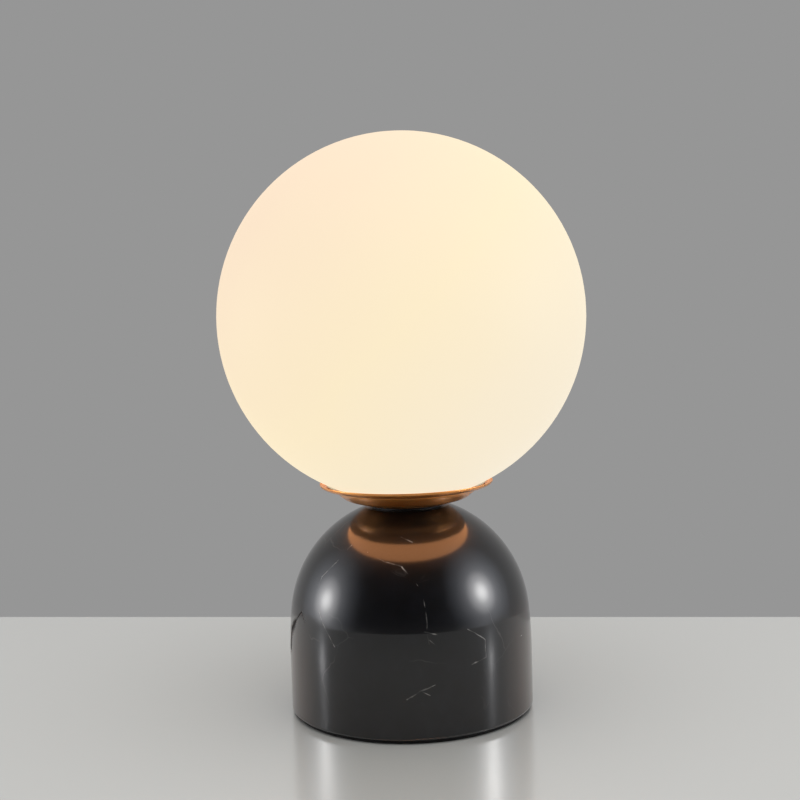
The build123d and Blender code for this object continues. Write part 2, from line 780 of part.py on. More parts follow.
# Two-pole terminal block on the underside of the plate.
with BuildPart() as terminal_block:
    with BuildSketch(Plane.XY.offset(block_bottom)):
        with Locations((0, terminal_block_offset)):
            RectangleRounded(terminal_block_width, terminal_block_depth, terminal_block_corner)
    extrude(amount=terminal_block_height)
    with BuildSketch(Plane.XZ.offset(-block_front)):
        with Locations(*[(x, sleeve_axis) for x in poles]):
            Circle(sleeve_radius)
    extrude(amount=-terminal_block_depth, mode=Mode.SUBTRACT)
    with BuildSketch(Plane.XY.offset(block_bottom)):
        with Locations(*screw_places):
            Circle(block_screw_head_radius)
        with Locations((0, terminal_block_offset)):
            Circle(fixing_screw_radius)
    extrude(amount=sleeve_axis - block_bottom, mode=Mode.SUBTRACT)
    with BuildSketch(Plane.XY.offset(block_bottom)):
        with Locations((0, terminal_block_offset)):
            Circle(fixing_screw_radius)
    extrude(amount=terminal_block_height, mode=Mode.SUBTRACT)
    with BuildSketch(Plane.XY.offset(block_bottom)):
        with Locations((0, terminal_block_offset)):
            Circle(fixing_head_radius)
    extrude(amount=fixing_head_thickness, mode=Mode.SUBTRACT)
write(terminal_block, "terminal_block")

# Brass sleeves in the block, tapped from below for their screws.
with BuildPart() as terminal_sleeves:
    with BuildSketch(Plane.XZ.offset(-block_front)):
        with Locations(*[(x, sleeve_axis) for x in poles]):
            Circle(sleeve_radius)
            Circle(sleeve_bore_radius, mode=Mode.SUBTRACT)
    extrude(amount=-terminal_block_depth)
    with BuildSketch(Plane.XY.offset(block_bottom)):
        with Locations(*screw_places):
            Circle(block_screw_radius)
    extrude(amount=sleeve_axis - block_bottom, mode=Mode.SUBTRACT)
write(terminal_sleeves, "terminal_sleeves")

# Four terminal screws, their heads in the block's lower face.
with BuildPart() as terminal_screws:
    with BuildSketch(Plane.XY.offset(block_bottom)):
        with Locations(*screw_places):
            Circle(block_screw_head_radius)
    extrude(amount=block_screw_head_thickness)
    with BuildSketch(Plane.XY.offset(block_bottom)):
        with Locations(*screw_places):
            Circle(block_screw_radius)
    extrude(amount=sleeve_axis - sleeve_bore_radius - block_bottom)
write(terminal_screws, "terminal_screws")

# Screw that fixes the block to the plate.
with BuildPart() as block_screw:
    with BuildSketch(Plane.XY.offset(block_bottom)):
        with Locations((0, terminal_block_offset)):
            Circle(fixing_head_radius)
    extrude(amount=fixing_head_thickness)
    with BuildSketch(Plane.XY.offset(block_bottom)):
        with Locations((0, terminal_block_offset)):
            Circle(fixing_screw_radius)
    extrude(amount=recess_ceiling - block_bottom)
write(block_screw, "block_screw")


def lead(side):
    """One insulated lead: block, tube, then out and up to its terminal screw."""
    in_tube = side * lead_spacing / 2
    turn_height = holder_base + holder_cavity_floor + lead_bend_radius + lead_radius
    terminal_x = side * (insert_notch_radius + contact_sheet + terminal_head_thickness / 2)
    with BuildPart() as wire:
        with BuildLine() as route:
            FilletPolyline(
                (side * pole_spacing / 2, block_front, sleeve_axis),
                (in_tube, 0, sleeve_axis - lead_dip),
                (in_tube, 0, turn_height),
                (terminal_x, 0, turn_height),
                (terminal_x, 0, terminal_axis - terminal_head_radius),
                radius=(lead_bend_radius, lead_bend_radius, lead_end_bend_radius),
            )
        with BuildSketch(Plane(origin=route.line @ 0, z_dir=route.line % 0)):
            Circle(lead_radius)
        sweep()
    return wire


write(lead(1), "live_lead")
write(lead(-1), "neutral_lead")
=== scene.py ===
import math

import bmesh
import bpy
from mathutils import Matrix, Vector


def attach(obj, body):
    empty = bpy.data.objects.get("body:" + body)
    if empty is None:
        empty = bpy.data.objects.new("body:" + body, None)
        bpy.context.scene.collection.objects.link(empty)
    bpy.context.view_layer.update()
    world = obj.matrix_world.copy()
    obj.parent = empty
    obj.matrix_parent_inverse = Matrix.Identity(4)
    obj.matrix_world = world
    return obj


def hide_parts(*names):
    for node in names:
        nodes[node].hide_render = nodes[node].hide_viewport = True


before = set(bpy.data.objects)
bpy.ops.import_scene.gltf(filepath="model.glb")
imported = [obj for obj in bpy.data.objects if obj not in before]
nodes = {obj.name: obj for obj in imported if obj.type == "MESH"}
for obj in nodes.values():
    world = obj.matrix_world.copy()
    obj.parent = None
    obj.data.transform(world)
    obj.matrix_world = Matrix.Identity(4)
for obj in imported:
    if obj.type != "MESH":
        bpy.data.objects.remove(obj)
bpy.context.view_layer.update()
mm = 0.001
print("frame loaded")


def hexColour(code):  # sRGB hex to the linear colour that the shaders work in
    parts = [int(code[i:i + 2], 16) / 255 for i in (1, 3, 5)]
    return [p / 12.92 if p <= 0.04045 else ((p + 0.055) / 1.055) ** 2.4 for p in parts] + [1.0]


def addNode(tree, kind, links=None, **settings):
    # One node: plain settings on the node, values or sockets on its inputs.
    node = tree.nodes.new(kind)
    for key, value in settings.items():
        setattr(node, key, value)
    for key, value in (links or {}).items():
        if isinstance(value, bpy.types.NodeSocket):
            tree.links.new(value, node.inputs[key])
        else:
            node.inputs[key].default_value = value
    return node


def emptyMaterial(name):
    material = bpy.data.materials.new(name)
    material.use_nodes = True
    material.node_tree.nodes.clear()
    return material, material.node_tree


def startMaterial(name, **values):
    # A material with one Principled shader; values are its inputs by name.
    material, tree = emptyMaterial(name)
    shader = addNode(tree, "ShaderNodeBsdfPrincipled", values)
    addNode(tree, "ShaderNodeOutputMaterial", {"Surface": shader.outputs[0]})
    place = addNode(tree, "ShaderNodeTexCoord").outputs["Object"]
    return material, tree, shader, place


def connect(tree, socket, shader, inputName):
    tree.links.new(socket, shader.inputs[inputName])


def calc(tree, operation, *values, **settings):
    # A sum on numbers or sockets.
    return addNode(tree, "ShaderNodeMath", dict(enumerate(values)), operation=operation, **settings).outputs[0]


def calcVector(tree, operation, *values):
    # The same for vectors; lengths and dot products come out as a number.
    links = {0: values[0], "Scale": values[1]} if operation == "SCALE" else dict(enumerate(values))
    node = addNode(tree, "ShaderNodeVectorMath", links, operation=operation)
    return node.outputs["Value" if operation in ("DOT_PRODUCT", "LENGTH", "DISTANCE") else "Vector"]


def remap(tree, value, low, high, start=0.0, end=1.0, smooth=False):
    # Takes low..high to start..end, and holds it there outside.
    return addNode(tree, "ShaderNodeMapRange",
                   {"Value": value, "From Min": low, "From Max": high, "To Min": start, "To Max": end},
                   interpolation_type="SMOOTHSTEP" if smooth else "LINEAR").outputs["Result"]


def noiseOf(tree, place, scale, detail, roughness=0.5):
    # Noise with scale in cells per metre.
    return addNode(tree, "ShaderNodeTexNoise",
                   {"Vector": place, "Scale": scale, "Detail": detail, "Roughness": roughness}).outputs


def mixColours(tree, share, a, b):
    return addNode(tree, "ShaderNodeMix", {"Factor": share, 6: a, 7: b}, data_type="RGBA").outputs[2]


def rampOf(tree, factor, stops):
    # Colour ramp with (position, colour) stops; a colour is a hex code or a linear one.
    ramp = addNode(tree, "ShaderNodeValToRGB", {"Fac": factor})
    elements = ramp.color_ramp.elements
    while len(elements) < len(stops):
        elements.new(0.5)
    for element, (position, colour) in zip(elements, stops):
        element.position = position
        element.color = hexColour(colour) if isinstance(colour, str) else colour
    return ramp.outputs["Color"]


def meshObject(bm, name):
    # Ends a bmesh as an object in the scene.
    mesh = bpy.data.meshes.new(name)
    bm.to_mesh(mesh)
    bm.free()
    thing = bpy.data.objects.new(name, mesh)
    bpy.context.scene.collection.objects.link(thing)
    return thing


# The block's outline in mm, as in the CAD: an upright foot, a long barrel curve and a dome.
blockShape = {"radius": 67.0, "flankTop": 32.8, "barrelRadius": 240.0, "turn": 5.83, "pad": 2.0}


def blockRadius(height):
    s = blockShape
    turn = math.radians(s["turn"])
    dome = s["barrelRadius"] - (s["barrelRadius"] - s["radius"]) / math.cos(turn)
    centre = s["flankTop"] + (s["barrelRadius"] - dome) * math.sin(turn)
    if height <= s["flankTop"]:
        return s["radius"]
    if height <= s["flankTop"] + s["barrelRadius"] * math.sin(turn):
        rise = height - s["flankTop"]
        return s["radius"] - s["barrelRadius"] + math.sqrt(s["barrelRadius"] ** 2 - rise ** 2)
    return math.sqrt(dome ** 2 - (height - centre) ** 2)


# Calcite veins as points (degrees round from the front, height in mm), positive to the right,
# with the line's width in mm and its strength.
marbleVeins = [
    {"path": [(-38.8, 97.9), (-43.8, 89.5), (-50.6, 81.4)], "width": 0.50, "strength": 0.55},
    {"path": [(-50.6, 81.4), (-50.2, 72.6), (-45.4, 63.3)], "width": 0.45, "strength": 0.40},
    {"path": [(-45.4, 63.3), (-35.2, 48.5)], "width": 0.50, "strength": 0.50},
    {"path": [(-4.0, 102.4), (3.8, 100.1)], "width": 0.50, "strength": 0.45},
    {"path": [(-25.4, 95.5), (-12.6, 91.4), (-2.8, 89.2)], "width": 0.35, "strength": 0.25},
    {"path": [(-2.8, 89.2), (3.8, 82.2), (6.2, 78.4)], "width": 0.45, "strength": 0.50},
    {"path": [(6.2, 78.4), (7.8, 68.8), (8.2, 59.0), (9.2, 51.4)], "width": 0.40, "strength": 0.30},
    {"path": [(7.2, 58.1), (14.0, 56.0)], "width": 0.50, "strength": 0.45},
    {"path": [(9.4, 53.9), (12.4, 50.6)], "width": 0.55, "strength": 0.50},
    {"path": [(-1.6, 23.8), (4.2, 28.2), (10.8, 30.8)], "width": 0.55, "strength": 0.60},
    {"path": [(4.2, 28.2), (8.6, 25.8)], "width": 0.40, "strength": 0.35},
    {"path": [(26.8, 56.9), (36.0, 50.1), (36.0, 41.2)], "width": 0.45, "strength": 0.40},
    {"path": [(36.0, 41.2), (28.4, 38.6)], "width": 0.50, "strength": 0.45},
    {"path": [(49.8, 46.8), (63.6, 45.6)], "width": 0.45, "strength": 0.35},
]
# An open black seam on the left side.
marbleCracks = [
    {"path": [(-61.0, 61.6), (-67.8, 55.7)], "width": 1.6, "strength": 1.0},
    {"path": [(-67.8, 55.7), (-75.2, 48.2)], "width": 3.2, "strength": 1.0},
    {"path": [(-75.2, 48.2), (-78.4, 38.9)], "width": 5.0, "strength": 1.0},
    {"path": [(-61.0, 61.6), (-57.5, 57.5)], "width": 0.8, "strength": 0.9},
]


def surfacePoint(angle, height):
    radius = blockRadius(height) * mm
    turn = math.radians(angle)
    return Vector((radius * math.sin(turn), -radius * math.cos(turn), height * mm))


def makeVeinGroup():
    # Distance from a point to the line between two points, as a soft 0 to 1 line.
    group = bpy.data.node_groups.new("veinLine", "ShaderNodeTree")
    for name, kind in (("place", "Vector"), ("start", "Vector"), ("end", "Vector"), ("width", "Float")):
        group.interface.new_socket(name, in_out="INPUT", socket_type="NodeSocket" + kind)
    group.interface.new_socket("line", in_out="OUTPUT", socket_type="NodeSocketFloat")
    given = addNode(group, "NodeGroupInput").outputs
    fromStart = calcVector(group, "SUBTRACT", given["place"], given["start"])
    along = calcVector(group, "SUBTRACT", given["end"], given["start"])
    ahead = calcVector(group, "DOT_PRODUCT", fromStart, along)
    whole = calcVector(group, "DOT_PRODUCT", along, along)
    share = calc(group, "DIVIDE", ahead, whole, use_clamp=True)
    gap = calcVector(group, "DISTANCE", fromStart, calcVector(group, "SCALE", along, share))
    line = remap(group, gap, 0.0, given["width"], 1.0, 0.0, smooth=True)
    addNode(group, "NodeGroupOutput", {"line": line})
    return group


def veinField(tree, place, widthNoise, veins, group):
    # The strongest of all the lines at a point.
    total = 0.0
    for vein in veins:
        strongest = 0.0
        width = calc(tree, "MULTIPLY", widthNoise, vein["width"] * mm)
        for a, b in zip(vein["path"], vein["path"][1:]):
            ends = {"place": place, "start": surfacePoint(*a), "end": surfacePoint(*b), "width": width}
            line = addNode(tree, "ShaderNodeGroup", ends, node_tree=group).outputs["line"]
            strongest = calc(tree, "MAXIMUM", strongest, line)
        total = calc(tree, "MAXIMUM", total, calc(tree, "MULTIPLY", strongest, vein["strength"]))
    return total


# The stone: scales are in cells per metre, and reach, brownOut, brownDown and seamDepth in mm. Each
# range says what part of its noise is used and what it gives.
marbleLook = {
    "shader": {"IOR": 1.56, "Coat Weight": 1.0, "Coat Roughness": 0.38, "Coat IOR": 1.27},
    "bend": {"scale": 60.0, "detail": 3.0, "reach": 3.0},
    "thickness": {"scale": 110.0, "detail": 2.0}, "thicknessRange": (0.35, 0.65, 0.35, 1.3),
    "gaps": {"scale": 260.0, "detail": 2.0}, "gapsRange": (0.40, 0.60, 0.2, 0.75),
    "hairBend": {"scale": 22.0, "detail": 4.0, "reach": 40.0}, "hairScale": 22.0, "hairWidth": 0.010,
    "patches": {"scale": 38.0, "detail": 2.0}, "patchesRange": (0.54, 0.70, 0.0, 0.05),
    "clouds": {"scale": 85.0, "detail": 5.0, "roughness": 0.6},
    "ground": [(0.35, "#07080a"), (0.55, "#0a0b0f"), (0.75, "#101216")],
    "brown": "#34211a", "brownOut": (46.0, 66.0), "brownDown": (75.0, 35.0),
    "vein": "#d9d6d0", "seam": "#050505", "seamDepth": 1.2, "gloss": (0.13, 1.0),
}


def bendPlace(tree, place, scale, detail, reach):
    # Shifts each place by noise, so that straight lines wander.
    centred = calcVector(tree, "SUBTRACT", noiseOf(tree, place, scale, detail)["Color"], (0.5, 0.5, 0.5))
    return calcVector(tree, "ADD", place, calcVector(tree, "SCALE", centred, reach * mm))


def makeBlackMarble():
    # Black marble, turned and hand polished: nearly black calcite with thin white veins. A sharp
    # gloss with a faint haze over it, as fine scratches leave.
    look = marbleLook
    material, tree, shader, place = startMaterial("blackMarblePolished", **look["shader"])
    bent = bendPlace(tree, place, **look["bend"])
    group = makeVeinGroup()
    widthNoise = remap(tree, noiseOf(tree, place, **look["thickness"])["Fac"], *look["thicknessRange"])
    lines = veinField(tree, bent, widthNoise, marbleVeins, group)
    # The veins fade in and out every few mm.
    gaps = remap(tree, noiseOf(tree, place, **look["gaps"])["Fac"], *look["gapsRange"])
    drawn = calc(tree, "MULTIPLY", lines, gaps)
    # Faint hair veins all round: cell edges 45 mm apart, bent and broken up by noise.
    cells = addNode(tree, "ShaderNodeTexVoronoi",
                    {"Vector": bendPlace(tree, place, **look["hairBend"]), "Scale": look["hairScale"]},
                    feature="DISTANCE_TO_EDGE")
    hair = remap(tree, cells.outputs["Distance"], 0.0, look["hairWidth"], 1.0, 0.0, smooth=True)
    patches = remap(tree, noiseOf(tree, place, **look["patches"])["Fac"], *look["patchesRange"])
    allVeins = calc(tree, "MAXIMUM", drawn, calc(tree, "MULTIPLY", hair, patches))
    # The ground: dark clouds about 12 mm across.
    ground = rampOf(tree, noiseOf(tree, place, **look["clouds"])["Fac"], look["ground"])
    # Low down at the left and right of the block, along x, the ground is mixed towards brown.
    parts = addNode(tree, "ShaderNodeSeparateXYZ", {"Vector": place}).outputs
    outer = remap(tree, calc(tree, "ABSOLUTE", parts["X"]), *[edge * mm for edge in look["brownOut"]], smooth=True)
    lower = remap(tree, parts["Z"], *[edge * mm for edge in look["brownDown"]], smooth=True)
    groundWithBrownSides = mixColours(tree, calc(tree, "MULTIPLY", outer, lower), ground, hexColour(look["brown"]))
    veined = mixColours(tree, allVeins, groundWithBrownSides, hexColour(look["vein"]))
    cracks = veinField(tree, bent, widthNoise, marbleCracks, group)
    connect(tree, mixColours(tree, cracks, veined, hexColour(look["seam"])), shader, "Base Color")
    # Veins and seams take the polish less well than the ground.
    dull = calc(tree, "MAXIMUM", allVeins, cracks)
    connect(tree, remap(tree, dull, 0.0, 1.0, *look["gloss"]), shader, "Roughness")
    connect(tree, calc(tree, "SUBTRACT", 1.0, cracks), shader, "Coat Weight")
    groove = addNode(tree, "ShaderNodeBump",
                     {"Height": cracks, "Distance": look["seamDepth"] * mm, "Strength": 1.0}, invert=True)
    connect(tree, groove.outputs["Normal"], shader, "Normal")
    return material


# The dish: rings 0.25 mm apart, ringDepth in mm.
brassLook = {
    "shader": {"Metallic": 1.0, "Coat Weight": 0.7, "Coat Roughness": 0.07, "Coat IOR": 1.5},
    "rings": {"Scale": 4000.0, "Detail": 2.0}, "glossRange": (0.3, 0.7, 0.36, 0.46),
    "ringDepth": 0.004, "ringStrength": 0.4,
    "tone": {"scale": 60.0, "detail": 3.0}, "tones": [(0.3, "#f3a050"), (0.7, "#fbb064")],
}


def makePolishedBrass():
    # Spun brass, a rose gold: satin from the lathe, under a clear lacquer that gives crisp highlights.
    look = brassLook
    material, tree, shader, place = startMaterial("brassSpunLacquered", **look["shader"])
    parts = addNode(tree, "ShaderNodeSeparateXYZ", {"Vector": place}).outputs
    flat = addNode(tree, "ShaderNodeCombineXYZ", {"X": parts["X"], "Y": parts["Y"]}).outputs[0]
    lane = calc(tree, "ADD", calcVector(tree, "LENGTH", flat), parts["Z"])
    rings = addNode(tree, "ShaderNodeTexNoise", {"W": lane, **look["rings"]}, noise_dimensions="1D").outputs["Fac"]
    connect(tree, remap(tree, rings, *look["glossRange"]), shader, "Roughness")
    bump = addNode(tree, "ShaderNodeBump",
                   {"Height": rings, "Distance": look["ringDepth"] * mm, "Strength": look["ringStrength"]})
    connect(tree, bump.outputs["Normal"], shader, "Normal")
    tone = noiseOf(tree, place, **look["tone"])["Fac"]
    connect(tree, rampOf(tree, tone, look["tones"]), shader, "Base Color")
    return material


# The glass: centre is its height and half the glow's half width, in mm. Seen in stone and metal more
# than mirroredFrom mm away, it glows in the colour mirrored.
glassLook = {
    "shader": {"IOR": 1.5, "Roughness": 0.6, "Specular IOR Level": 0.15, "Base Color": hexColour("#4c4841"),
               "Emission Strength": 1.0},
    "centre": 216.0, "half": 130.0, "soft": {"scale": 9.0, "detail": 2.0}, "wobble": 0.3,
    "glow": [(0.0, "#f2dbc0"), (0.5, "#f6e6c4"), (1.0, "#f1e6d0")],
    "mirrored": (4.0, 1.63, 0.62, 1.0), "mirroredFrom": (8.0, 22.0),
}


def makeOpalGlass():
    # Blown opal glass with the lamp lit behind it: an even warm glow, peach to the left, cream to the right.
    look = glassLook
    material, tree, shader, place = startMaterial("opalGlassLit", **look["shader"])
    soft = noiseOf(tree, place, **look["soft"])["Fac"]
    parts = addNode(tree, "ShaderNodeSeparateXYZ", {"Vector": place}).outputs
    slope = calc(tree, "SUBTRACT", parts["X"], parts["Z"])
    across = remap(tree, slope, -(look["centre"] + look["half"]) * mm, (look["half"] - look["centre"]) * mm)
    wobble = calc(tree, "MULTIPLY_ADD", soft, look["wobble"], -look["wobble"] / 2)
    glow = rampOf(tree, calc(tree, "ADD", across, wobble, use_clamp=True), look["glow"])
    # Seen in polished stone and metal the glass is far brighter and warmer than to the eye.
    ray = addNode(tree, "ShaderNodeLightPath").outputs
    away = remap(tree, ray["Ray Length"], *[edge * mm for edge in look["mirroredFrom"]], smooth=True)
    mirrored = calc(tree, "MULTIPLY", ray["Is Glossy Ray"], away)
    connect(tree, mixColours(tree, mirrored, glow, look["mirrored"]), shader, "Emission Color")
    return material


# The small parts' finishes. "grain" is the pattern's size in mm along x, y and z, "tones" its two
# colours, "gloss" the roughness at both ends of the pattern and "relief" its depth in mm.
finishes = {
    # EVA foam, closed cells, cut from sheet: dull black with fine pores.
    "foamPadEva": {"tones": ("#0b0b0b", "#1a1a1a"), "grain": (0.8, 0.8, 0.8),
                   "gloss": (0.85, 1.0), "relief": 0.10, "ior": 1.45},
    # Vulcanised fibre, pressed in layers: matt black with lying streaks.
    "fibreWasherBlack": {"tones": ("#121110", "#1f1d1b"), "grain": (3.0, 3.0, 0.3),
                         "gloss": (0.6, 0.75), "relief": 0.03, "ior": 1.5},
    # Silicone rubber, moulded clear: milky, with a soft sheen and faint clouds.
    "siliconeMilky": {"tones": ("#bdbab0", "#d0cdc4"), "grain": (6.0, 6.0, 6.0),
                      "gloss": (0.35, 0.5), "relief": 0.01, "ior": 1.41},
    # Steel, bright zinc plate: pale grey, slightly blotched from the bath.
    "steelZincPlated": {"tones": ("#a9adb2", "#c6c9cb"), "grain": (2.5, 2.5, 2.5),
                        "gloss": (0.28, 0.42), "relief": 0.01, "metal": 1.0},
    # Spring steel strip, rolled: darker, with fine lines along the strip.
    "springSteelRolled": {"tones": ("#83868a", "#a2a5a8"), "grain": (0.35, 8.0, 3.0),
                          "gloss": (0.24, 0.38), "relief": 0.01, "metal": 1.0},
    # Phenolic resin, moulded black: glossy with a faint orange peel.
    "phenolicBlack": {"tones": ("#0c0b0b", "#151312"), "grain": (1.6, 1.6, 1.6),
                      "gloss": (0.24, 0.34), "relief": 0.02, "ior": 1.6},
    # Polycarbonate, moulded white: smooth satin, faintly grained.
    "polycarbonateWhite": {"tones": ("#deddd6", "#ebeae4"), "grain": (0.9, 0.9, 0.9),
                           "gloss": (0.38, 0.48), "relief": 0.012, "ior": 1.58},
    # Brass strip, rolled bare: yellow, with dull patches where it was handled.
    "contactBrassRolled": {"tones": ("#b48d4c", "#d1ab66"), "grain": (2.0, 2.0, 6.0),
                           "gloss": (0.26, 0.45), "relief": 0.01, "metal": 1.0},
    # Brass, nickel plated and drawn: warm silver with light drawing marks.
    "nickelPlateDrawn": {"tones": ("#b9b4a9", "#d3cfc6"), "grain": (0.5, 0.5, 7.0),
                         "gloss": (0.18, 0.32), "relief": 0.01, "metal": 1.0},
    # Aluminium-cored board under white solder mask: satin white, faintly mottled.
    "solderMaskWhite": {"tones": ("#d9d9d2", "#ecece7"), "grain": (1.2, 1.2, 1.2),
                        "gloss": (0.35, 0.5), "relief": 0.01, "ior": 1.5},
    # Glass-fibre board under green solder mask: the weave shows through as small squares.
    "boardGreenMask": {"tones": ("#0d3b22", "#175434"), "grain": (1.0, 1.0, 1.0),
                       "gloss": (0.3, 0.45), "relief": 0.01, "ior": 1.5},
    # PVC sleeve, extruded brown: soft gloss with lengthways streaks.
    "pvcSleeveBrown": {"tones": ("#3a1e12", "#4f2b1b"), "grain": (0.4, 0.4, 5.0),
                       "gloss": (0.38, 0.5), "relief": 0.01, "ior": 1.53},
    # PVC sleeve, extruded blue: soft gloss with lengthways streaks.
    "pvcSleeveBlue": {"tones": ("#143a78", "#1e4f97"), "grain": (0.4, 0.4, 5.0),
                      "gloss": (0.38, 0.5), "relief": 0.01, "ior": 1.53},
}
# Between which noise values a finish goes from its first tone to its second, and its broad clouds.
finishRange = (0.38, 0.62)
broadClouds = {"scale": 55.0, "detail": 2.0}


def makeFinish(name):
    look = finishes[name]
    start = {"Metallic": look["metal"]} if "metal" in look else {"IOR": look["ior"]}
    material, tree, shader, place = startMaterial(name, **start)
    scale = tuple(1.0 / (size * mm) for size in look["grain"])
    stretched = addNode(tree, "ShaderNodeMapping", {"Vector": place, "Scale": scale}).outputs[0]
    grain = noiseOf(tree, stretched, 1.0, 3.0)["Fac"]
    broad = noiseOf(tree, place, **broadClouds)["Fac"]
    both = calc(tree, "MULTIPLY", calc(tree, "ADD", grain, broad), 0.5)
    tones = rampOf(tree, both, list(zip(finishRange, look["tones"])))
    connect(tree, tones, shader, "Base Color")
    connect(tree, remap(tree, both, *finishRange, *look["gloss"]), shader, "Roughness")
    relief = addNode(tree, "ShaderNodeBump", {"Height": grain, "Distance": look["relief"] * mm, "Strength": 0.6})
    connect(tree, relief.outputs["Normal"], shader, "Normal")
    return material


# The bulb's dome: rise is the height in mm over which its glow fades in.
domeLook = {
    "shader": {"IOR": 1.58, "Roughness": 0.35, "Emission Strength": 1.1},
    "grain": {"scale": 900.0, "detail": 2.0}, "tones": [(0.35, "#e9e5da"), (0.65, "#f2eee4")],
    "rise": (202.0, 222.0), "glow": [(0.0, "#e8c48e"), (1.0, "#fff0cf")],
}


def makeOpalDome():
    # Polycarbonate dome of the lit bulb, moulded opal: glows warm white, a little less towards its seam.
    look = domeLook
    material, tree, shader, place = startMaterial("opalDomeLit", **look["shader"])
    grain = noiseOf(tree, place, **look["grain"])["Fac"]
    connect(tree, rampOf(tree, grain, look["tones"]), shader, "Base Color")
    height = addNode(tree, "ShaderNodeSeparateXYZ", {"Vector": place}).outputs["Z"]
    rise = remap(tree, height, *[edge * mm for edge in look["rise"]], smooth=True)
    connect(tree, rampOf(tree, rise, look["glow"]), shader, "Emission Color")
    return material


made = {
    "black_marble": makeBlackMarble(),
    "polished_brass": makePolishedBrass(),
    "opal_glass": makeOpalGlass(),
    "opal_plastic": makeOpalDome(),
    "foam_pad": makeFinish("foamPadEva"),
    "black_fibre": makeFinish("fibreWasherBlack"),
    "clear_silicone": makeFinish("siliconeMilky"),
    "zinc_steel": makeFinish("steelZincPlated"),
    "spring_steel": makeFinish("springSteelRolled"),
    "black_moulding": makeFinish("phenolicBlack"),
    "white_moulding": makeFinish("polycarbonateWhite"),
    "contact_brass": makeFinish("contactBrassRolled"),
    "nickel_brass": makeFinish("nickelPlateDrawn"),
    "board_white": makeFinish("solderMaskWhite"),
    "board_green": makeFinish("boardGreenMask"),
    "brown_lead": makeFinish("pvcSleeveBrown"),
    "blue_lead": makeFinish("pvcSleeveBlue"),
}
for node in nodes.values():
    for slot in node.material_slots:
        if slot.material and slot.material.name in made:
            slot.material = made[slot.material.name]
print("materials made")


# Pieces turned on the lathe: an outline of a few points (radius, height) in mm is spun round the axis.

def drawOutline(bm, points, closed=False):
    verts = [bm.verts.new((x * mm, 0.0, z * mm)) for x, z in points]
    for pair in zip(verts, verts[1:]):
        bm.edges.new(pair)
    if closed:
        bm.edges.new((verts[-1], verts[0]))
    return verts


def roundCorners(bm, verts, size, segments):
    bmesh.ops.bevel(bm, geom=verts, offset=size * mm, offset_type="OFFSET", affect="VERTICES",
                    segments=segments, profile=0.5, material=-1)


def spinRound(bm, steps=128):
    bmesh.ops.spin(bm, geom=bm.verts[:] + bm.edges[:], cent=(0.0, 0.0, 0.0), axis=(0.0, 0.0, 1.0),
                   angle=math.tau, steps=steps, use_merge=True)
    bmesh.ops.remove_doubles(bm, verts=bm.verts[:], dist=0.005 * mm)


def addShape(bm, other):
    # Puts a second shape into the first.
    mesh = bpy.data.meshes.new("secondShape")
    other.to_mesh(mesh)
    other.free()
    bm.from_mesh(mesh)
    bpy.data.meshes.remove(mesh)


def finishPiece(bm, name, body, slotName, stands, sharpAngle=40.0):
    # Turns a bmesh into a smooth-shaded piece that stands for its CAD node.
    bmesh.ops.recalc_face_normals(bm, faces=bm.faces[:])
    piece = meshObject(bm, name)
    piece.data.shade_smooth()
    piece.data.set_sharp_from_angle(angle=math.radians(sharpAngle))
    piece.data.materials.append(made[slotName])
    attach(piece, body)
    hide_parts(stands)
    return piece


# Lower tier of the dish: a spun bowl with a bead rolled at its mouth.
cup = {
    "outline": [(5.2, 113.84), (20.0, 113.84), (33.6, 117.6), (38.0, 121.2), (39.2, 123.1)],
    "footRound": 5.0, "sideRound": 1.5, "sheet": 0.6, "bead": 0.65, "beadPlace": (39.4, 123.25),
}


def makeCup():
    bm = bmesh.new()
    verts = drawOutline(bm, cup["outline"])
    foot, side = verts[1], verts[2:4]
    roundCorners(bm, [foot], cup["footRound"], 12)
    roundCorners(bm, side, cup["sideRound"], 8)
    spinRound(bm)
    bmesh.ops.recalc_face_normals(bm, faces=bm.faces[:])
    bmesh.ops.solidify(bm, geom=bm.faces[:], thickness=cup["sheet"] * mm)
    bead = bmesh.new()
    radius, height = cup["beadPlace"]
    bmesh.ops.create_circle(bead, radius=cup["bead"] * mm, segments=20)
    bmesh.ops.rotate(bead, verts=bead.verts[:], cent=(0.0, 0.0, 0.0), matrix=Matrix.Rotation(math.pi / 2, 3, "X"))
    bmesh.ops.translate(bead, verts=bead.verts[:], vec=(radius * mm, 0.0, height * mm))
    spinRound(bead)
    addShape(bm, bead)
    return finishPiece(bm, "brassCupBeaded", "lamp", "polished_brass", "brass_cup")


# Upper tier: a tray with a flared, softly rounded side and a low step that sits in the cup's mouth.
saucer = {
    "outline": [(5.2, 120.34), (33.4, 120.34), (35.6, 121.0), (38.6, 122.4), (41.2, 123.2), (45.4, 123.9),
                (47.2, 125.2), (47.2, 126.0)],
    "innerRound": 0.5, "sideRound": 1.2, "sheet": 0.5, "lipRound": 0.2, "lipFrom": 125.5,
}


def makeSaucer():
    bm = bmesh.new()
    verts = drawOutline(bm, saucer["outline"])
    inner, flare = verts[1:5], verts[5:7]
    roundCorners(bm, inner, saucer["innerRound"], 4)
    roundCorners(bm, flare[:1], saucer["sideRound"], 8)
    roundCorners(bm, flare[1:], saucer["innerRound"], 6)
    spinRound(bm)
    bmesh.ops.recalc_face_normals(bm, faces=bm.faces[:])
    bmesh.ops.solidify(bm, geom=bm.faces[:], thickness=-saucer["sheet"] * mm)
    bmesh.ops.recalc_face_normals(bm, faces=bm.faces[:])
    lip = [e for e in bm.edges if len(e.link_faces) == 2 and e.calc_face_angle(0.0) > 1.0
           and min(v.co.z for v in e.verts) > saucer["lipFrom"] * mm]
    bmesh.ops.bevel(bm, geom=lip, offset=saucer["lipRound"] * mm, affect="EDGES", segments=3, profile=0.5,
                    material=-1)
    return finishPiece(bm, "brassSaucer", "lamp", "polished_brass", "brass_saucer")


